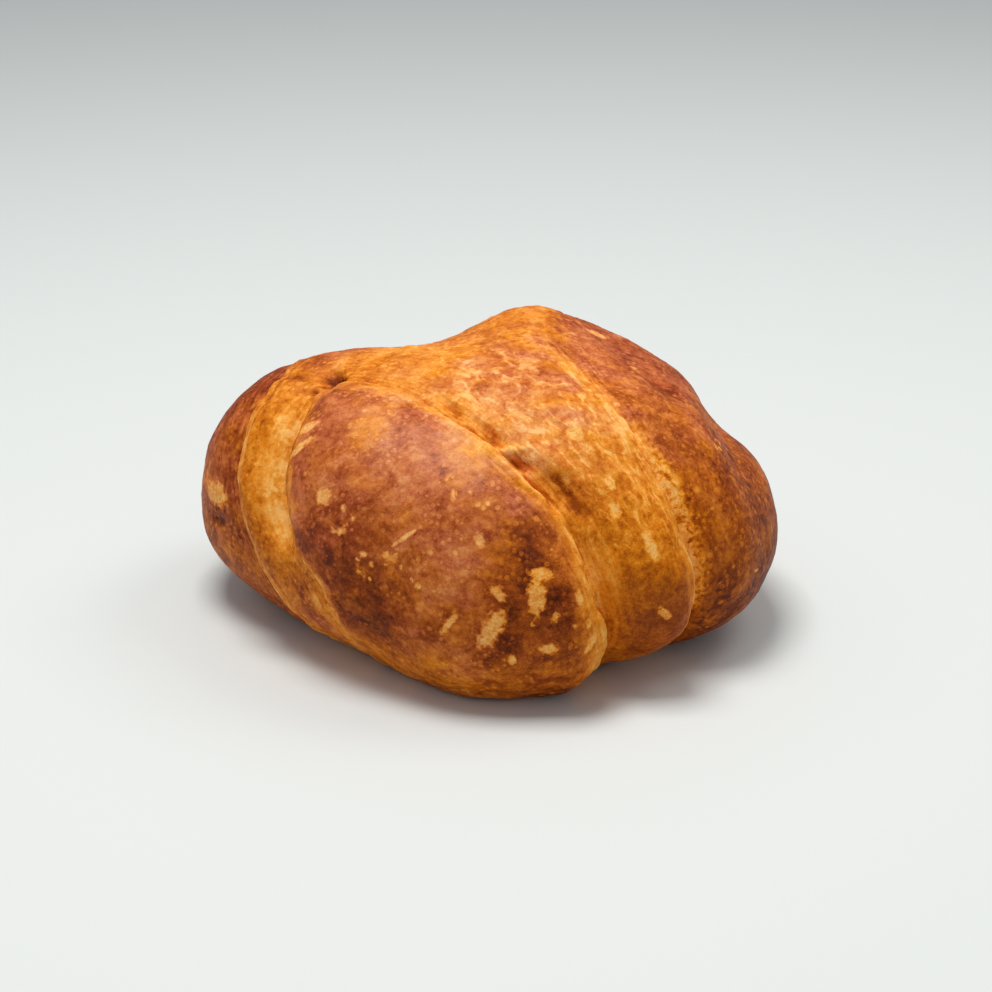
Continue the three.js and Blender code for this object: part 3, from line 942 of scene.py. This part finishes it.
# The bake level here includes painted shade in the grooves and hollows and painted light on swellings
browned_and_shaded = number["bake_and_shade"]
for pattern, strength in STRENGTHS:
    browned_and_shaded = add(tree, "ShaderNodeMath", {0: pattern, 1: strength, 2: browned_and_shaded}, operation="MULTIPLY_ADD")
bare = 0.22                               # bake level of the dough under a flake, and its own grain
for pattern in (skin["grains"], skin["pinpricks"]):
    bare = add(tree, "ShaderNodeMath", {0: pattern, 1: 0.55, 2: bare}, operation="MULTIPLY_ADD")
browned_and_shaded = add(tree, "ShaderNodeMix", {0: placed["bare flakes"], 2: browned_and_shaded, 3: bare})
browned_and_shaded = add(tree, "ShaderNodeMath", {0: browned_and_shaded, 1: PALEST}, operation="MAXIMUM")

# Flushes of red are strongest where the crust is already red, and fade on flakes; like the redness they feed,
# they are partly painted sheen.
flushed = add(tree, "ShaderNodeMapRange", {"Value": number["ruddy_and_sheen"], "From Max": 0.5, "To Min": 0.2,
                                           "To Max": 2.4}, interpolation_type="SMOOTHSTEP")
# Redness: egg-wash colour together with painted sheen
redness = add(tree, "ShaderNodeMath", {0: skin["flushes"], 1: flushed, 2: number["ruddy_and_sheen"]},
              operation="MULTIPLY_ADD", use_clamp=True)
unflaked = add(tree, "ShaderNodeMath", {0: placed["bare flakes"], 1: -0.5, 2: 1.0}, operation="MULTIPLY_ADD")
redness = add(tree, "ShaderNodeMath", {0: redness, 1: unflaked}, operation="MULTIPLY")
ramps = []
for stops in (GOLDEN_CRUST, RUDDY_CRUST_AND_SHEEN):
    ramp = add(tree, "ShaderNodeValToRGB", {"Fac": browned_and_shaded})
    elements = ramp.color_ramp.elements
    elements.remove(elements[1])
    elements[0].position = stops[0][0]
    elements[0].color = linear(stops[0][1])
    for position, colour in stops[1:]:
        elements.new(position).color = linear(colour)
    ramps.append(ramp)
colour = add(tree, "ShaderNodeMix", {0: redness, 6: ramps[0], 7: ramps[1]}, data_type="RGBA").outputs[2]
print("colour stops on each ramp:", [len(ramp.color_ramp.elements) for ramp in ramps])

# %% [markdown]
# ## Sheen and fine relief of the crust
# Baked egg wash is satin: its gloss is broad and weak, weaker still on flakes and fibres, which are matt.
# On top of the flap the wash dried to a thin clear coat. Relief finer than a cell of the mesh is bump, half
# a millimetre at most, from the same patterns as the colour, so that each blister and crumb also catches
# the light.

# %% Finish the crust
CRUST_IOR = 1.45                          # dried egg and starch
roughness = 0.50                          # satin, before the patterns change it
for pattern, strength in ((placed["bare flakes"], 0.2), (number["fibrous"], 0.1), (skin["grains"], 0.3)):
    roughness = add(tree, "ShaderNodeMath", {0: pattern, 1: strength, 2: roughness}, operation="MULTIPLY_ADD")
FINE_RELIEF = [                           # pattern and height, as a share of the bump's distance
    (skin["grains"], 0.30), (skin["pinpricks"], 0.30), (placed["blisters"], 0.10), (placed["fibres"], 0.90),
    (placed["loose crumbs"], 0.25), (placed["marbling"], 0.12), (placed["bare flakes"], -0.12),
]
fine_height = 0.0
for pattern, strength in FINE_RELIEF:
    fine_height = add(tree, "ShaderNodeMath", {0: pattern, 1: strength, 2: fine_height},
                      operation="MULTIPLY_ADD")
bump = add(tree, "ShaderNodeBump", {"Height": fine_height, "Strength": 0.6, "Distance": 0.5 * MM})
crust_shader = add(tree, "ShaderNodeBsdfPrincipled", {
    "Base Color": colour, "Roughness": roughness, "Normal": bump, "IOR": CRUST_IOR,
    "Specular IOR Level": 0.12,           # a dry, porous skin gives back little of the light
    "Coat Weight": number["glaze"], "Coat Roughness": 0.40})
add(tree, "ShaderNodeOutputMaterial", {"Surface": crust_shader})
loaf.data.materials.append(crust)
print("crust nodes:", len(tree.nodes))

# %% [markdown]
# ## The table
# The loaf lies on a plain table top painted in matt pale grey. To the eye that is an even ground with no
# reflections, which holds a soft shadow and throws a little light back up under the belly.

# %% Table
TABLE_SIZE = 6.0                          # m
half = TABLE_SIZE / 2
corners = [(-half, -half, 0), (half, -half, 0), (half, half, 0), (-half, half, 0)]
floor_mesh = bpy.data.meshes.new("table_top")
floor_mesh.from_pydata(corners, [], [(0, 1, 2, 3)])
floor = bpy.data.objects.new("table_top", floor_mesh)
floor.location.z = float(low.z)
paint = bpy.data.materials.new("matt_table_paint")        # an even pale grey without reflections
paint.use_nodes = True
paint_shader = paint.node_tree.nodes["Principled BSDF"]
paint_shader.inputs["Base Color"].default_value = linear("#DCE0E0")
paint_shader.inputs["Roughness"].default_value = 0.6
floor_mesh.materials.append(paint)
bpy.context.scene.collection.objects.link(floor)
print("table top at, mm:", round(floor.location.z / MM, 1))

# %% [markdown]
# ## Light
# One big soft lamp hangs above the loaf, a little to the left, so that the crown and the flap are bright,
# the sides fall off and the shadow lies close round the foot. A weak one from behind on the right lifts
# the right end, and a pale room fills the rest, so that no shadow is black. Soft lamps suit food: small
# ones would make hard glints on the egg wash.

# %% Lights
LAMP_WHITE = "#FFFDF8"                    # daylight, very slightly warm
LAMP_AIM = Vector((0, 0, 0.03))           # m, a point inside the loaf


def area_light(name, place, size, power):
    """A square lamp at the place, with its side in metres and its power in watts, turned to the loaf."""
    lamp = bpy.data.lights.new(name, "AREA")
    lamp.size = size
    lamp.energy = power
    lamp.color = linear(LAMP_WHITE)[:3]
    light = bpy.data.objects.new(name, lamp)
    light.location = place
    light.rotation_euler = (LAMP_AIM - Vector(place)).to_track_quat("-Z", "Y").to_euler()
    bpy.context.scene.collection.objects.link(light)
    return light


lamps = [
    area_light("lamp_above", (-0.12, -0.02, 0.95), 0.38, 7.0),
    area_light("lamp_behind", (0.45, 0.25, 0.75), 0.40, 1.5),
]
world = bpy.data.worlds.new("room")
world.use_nodes = True
room = world.node_tree.nodes["Background"]
room.inputs["Color"].default_value = linear("#E9ECEE")
room.inputs["Strength"].default_value = 0.44
bpy.context.scene.world = world
print("lamps, watts:", {lamp.name: lamp.data.energy for lamp in lamps})

# %% [markdown]
# ## Camera
# The camera stands in front, a little to the right, and looks down on the loaf at about the angle of
# someone sitting at the table. A lens longer than normal, from further away, keeps the front of the loaf
# from looking swollen. It is placed by angles round the loaf, which are easier to correct than coordinates.

# %% Camera
VIEW_TURN = 6.0                           # degrees round from the front towards +X
VIEW_RISE = 23.2                          # degrees above the table
VIEW_DISTANCE = 0.568                     # m
VIEW_SLIDE = (0.0018, 0.0045)             # m to the right and up, which sets the loaf a little low
look_at = Vector((slide[0] * MM, slide[1] * MM, 0.026))        # the middle of the loaf, 26 mm up
toward = Vector(direction_of(VIEW_TURN, VIEW_RISE))
camera = bpy.data.objects.new("camera", bpy.data.cameras.new("camera"))
camera.data.lens = 80.0                   # mm
camera.data.sensor_width = 36.0
camera.rotation_euler = toward.to_track_quat("Z", "Y").to_euler()
turned = camera.rotation_euler.to_matrix()
camera.location = look_at + toward * VIEW_DISTANCE + turned @ Vector((*VIEW_SLIDE, 0))
bpy.context.scene.collection.objects.link(camera)
bpy.context.scene.camera = camera
bpy.context.scene.view_settings.view_transform = "Standard"
print("camera at", [round(c, 3) for c in camera.location])
